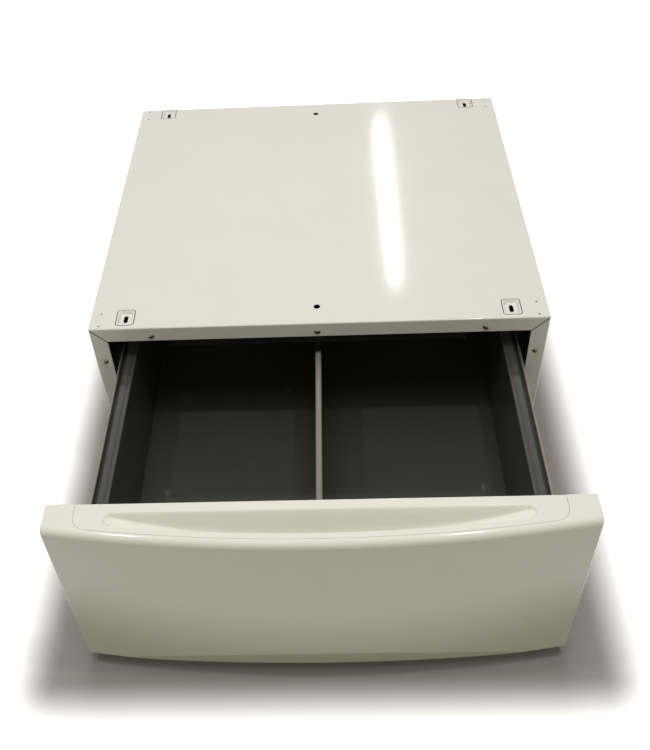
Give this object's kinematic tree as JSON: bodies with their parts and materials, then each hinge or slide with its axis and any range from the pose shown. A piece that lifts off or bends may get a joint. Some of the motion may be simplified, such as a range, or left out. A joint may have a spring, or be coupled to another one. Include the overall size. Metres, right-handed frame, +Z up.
{
  "type": "laundry pedestal with drawer",
  "caption": "Low enamelled-steel pedestal for a laundry machine, with a wide bow-fronted drawer on ball slides, a finger scoop in the drawer front, a divided drawer box and levelling feet.",
  "frame": {"origin": "centre of the footprint's bounding box on the floor, with the drawer open as at rest", "axes": "+X to the right seen from the front, +Y from the drawer front to the back, +Z up"},
  "size_m": [0.6858, 1.0434, 0.3302],
  "materials": {
    "enamel": "gloss warm-white enamel on steel sheet, fine orange peel",
    "galvanised": "galvanised steel sheet",
    "slide_steel": "zinc-plated rolled steel",
    "cage_steel": "thin zinc-plated pressed steel",
    "ball_steel": "polished bearing steel",
    "moulded_white": "gloss warm-white moulding",
    "charcoal_enamel": "gloss charcoal enamel on steel sheet",
    "zinc": "bright zinc plate",
    "black_rubber": "matt black rubber"
  },
  "bodies": {
    "cabinet": {"top_panel": "enamel", "left_side_panel": "enamel", "right_side_panel": "enamel", "back_panel": "enamel", "left_deck_brace": "enamel", "right_deck_brace": "enamel", "base_front_rail": "enamel", "base_rear_rail": "enamel", "left_slide_carrier": "galvanised", "right_slide_carrier": "galvanised", "left_cabinet_rail": "slide_steel", "right_cabinet_rail": "slide_steel", "front_stiffener": "charcoal_enamel", "left_corner_gusset": "charcoal_enamel", "right_corner_gusset": "charcoal_enamel", "foot_blocks": "zinc", "foot_lock_nuts": "zinc", "flange_screws": "zinc", "back_panel_screws": "zinc", "carrier_screws": "zinc"},
    "left_middle_member": {"left_middle_rail": "slide_steel"},
    "left_outer_carriage": {"left_outer_cage": "cage_steel", "left_outer_balls": "ball_steel"},
    "left_inner_carriage": {"left_inner_cage": "cage_steel", "left_inner_balls": "ball_steel"},
    "right_middle_member": {"right_middle_rail": "slide_steel"},
    "right_outer_carriage": {"right_outer_cage": "cage_steel", "right_outer_balls": "ball_steel"},
    "right_inner_carriage": {"right_inner_cage": "cage_steel", "right_inner_balls": "ball_steel"},
    "front_left_levelling_foot": {"front_left_stud": "zinc", "front_left_foot": "black_rubber"},
    "front_right_levelling_foot": {"front_right_stud": "zinc", "front_right_foot": "black_rubber"},
    "rear_left_levelling_foot": {"rear_left_stud": "zinc", "rear_left_foot": "black_rubber"},
    "rear_right_levelling_foot": {"rear_right_stud": "zinc", "rear_right_foot": "black_rubber"},
    "drawer": {"front_backing_plate": "galvanised", "drawer_bottom_brace": "galvanised", "left_drawer_rail": "slide_steel", "right_drawer_rail": "slide_steel", "front_shell": "moulded_white", "handle_insert": "moulded_white", "drawer_inner_front": "charcoal_enamel", "left_drawer_side": "charcoal_enamel", "right_drawer_side": "charcoal_enamel", "drawer_back": "charcoal_enamel", "drawer_bottom": "charcoal_enamel", "drawer_divider": "charcoal_enamel", "front_screws": "zinc", "drawer_rail_screws": "zinc", "divider_screws": "zinc", "box_rivets": "zinc", "divider_clip": "zinc", "front_bumpers": "black_rubber"}
  },
  "joints": [
    {"name": "drawer_slide", "type": "slide", "parent": "cabinet", "child": "drawer", "axis": [0, -1, 0], "range_m": [-0.319, 0.081]},
    {"name": "left_middle_member_slide", "type": "slide", "parent": "cabinet", "child": "left_middle_member", "axis": [0, -1, 0], "range_m": [-0.1595, 0.0405]},
    {"name": "left_outer_carriage_slide", "type": "slide", "parent": "cabinet", "child": "left_outer_carriage", "axis": [0, -1, 0], "range_m": [-0.07975, 0.02025]},
    {"name": "left_inner_carriage_slide", "type": "slide", "parent": "cabinet", "child": "left_inner_carriage", "axis": [0, -1, 0], "range_m": [-0.23925, 0.06075]},
    {"name": "right_middle_member_slide", "type": "slide", "parent": "cabinet", "child": "right_middle_member", "axis": [0, -1, 0], "range_m": [-0.1595, 0.0405]},
    {"name": "right_outer_carriage_slide", "type": "slide", "parent": "cabinet", "child": "right_outer_carriage", "axis": [0, -1, 0], "range_m": [-0.07975, 0.02025]},
    {"name": "right_inner_carriage_slide", "type": "slide", "parent": "cabinet", "child": "right_inner_carriage", "axis": [0, -1, 0], "range_m": [-0.23925, 0.06075]},
    {"name": "front_left_foot_turn", "type": "hinge", "parent": "cabinet", "child": "front_left_levelling_foot", "pos_m": [-0.3, -0.1075, 0], "axis": [0, 0, 1], "continuous": true},
    {"name": "front_right_foot_turn", "type": "hinge", "parent": "cabinet", "child": "front_right_levelling_foot", "pos_m": [0.3, -0.1075, 0], "axis": [0, 0, 1], "continuous": true},
    {"name": "rear_left_foot_turn", "type": "hinge", "parent": "cabinet", "child": "rear_left_levelling_foot", "pos_m": [-0.3, 0.4949, 0], "axis": [0, 0, 1], "continuous": true},
    {"name": "rear_right_foot_turn", "type": "hinge", "parent": "cabinet", "child": "rear_right_levelling_foot", "pos_m": [0.3, 0.4949, 0], "axis": [0, 0, 1], "continuous": true}
  ],
  "couplings": [
    {"joint": "left_middle_member_slide", "follows": "drawer_slide", "ratio": 0.5},
    {"joint": "left_outer_carriage_slide", "follows": "drawer_slide", "ratio": 0.25},
    {"joint": "left_inner_carriage_slide", "follows": "drawer_slide", "ratio": 0.75},
    {"joint": "right_middle_member_slide", "follows": "drawer_slide", "ratio": 0.5},
    {"joint": "right_outer_carriage_slide", "follows": "drawer_slide", "ratio": 0.25},
    {"joint": "right_inner_carriage_slide", "follows": "drawer_slide", "ratio": 0.75}
  ]
}
